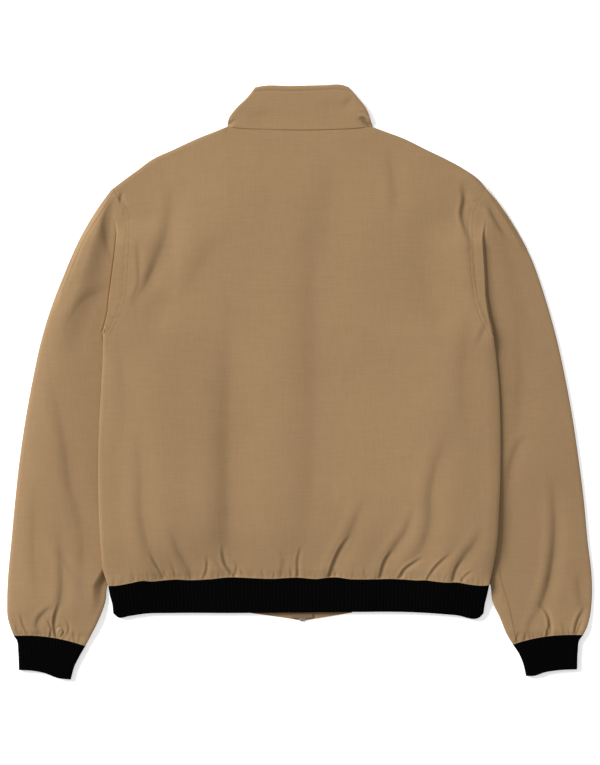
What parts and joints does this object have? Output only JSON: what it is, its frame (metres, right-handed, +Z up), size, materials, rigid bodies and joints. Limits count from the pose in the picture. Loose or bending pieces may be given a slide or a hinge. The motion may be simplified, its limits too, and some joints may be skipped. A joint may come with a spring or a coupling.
{
  "type": "bomber jacket",
  "caption": "Blouson jacket laid flat face down: shell cloth body and set-in sleeves, stand collar, ribbed hem and cuffs, front zip with a swinging pull.",
  "frame": {"origin": "on the surface the jacket lies on, below the middle of its bounding box", "axes": "+Y from the hem to the collar, +X to the right as seen from above, +Z up out of the back of the jacket"},
  "size_m": [0.8002, 0.8141, 0.0184],
  "materials": {
    "shell_cloth": "matte woven shell cloth",
    "rib_knit": "matte rib knit",
    "zip_tape": "matte woven tape",
    "zip_metal": "satin metal"
  },
  "bodies": {
    "jacket": {"back": "shell_cloth", "front_left": "shell_cloth", "front_right": "shell_cloth", "sleeve_left_back": "shell_cloth", "sleeve_left_front": "shell_cloth", "sleeve_right_back": "shell_cloth", "sleeve_right_front": "shell_cloth", "collar": "shell_cloth", "hem_tab_left": "shell_cloth", "hem_tab_right": "shell_cloth", "hem_rib": "rib_knit", "cuff_left": "rib_knit", "cuff_right": "rib_knit", "zip_tape_left": "zip_tape", "zip_tape_right": "zip_tape", "zip_slider": "zip_metal"},
    "zip_pull": {"zip_pull": "zip_metal"}
  },
  "joints": [
    {"name": "zip_pull_hinge", "type": "hinge", "parent": "jacket", "child": "zip_pull", "pos_m": [0.004, 0.306, 0.0007], "axis": [1, 0, 0], "range_deg": [0, 170]}
  ]
}
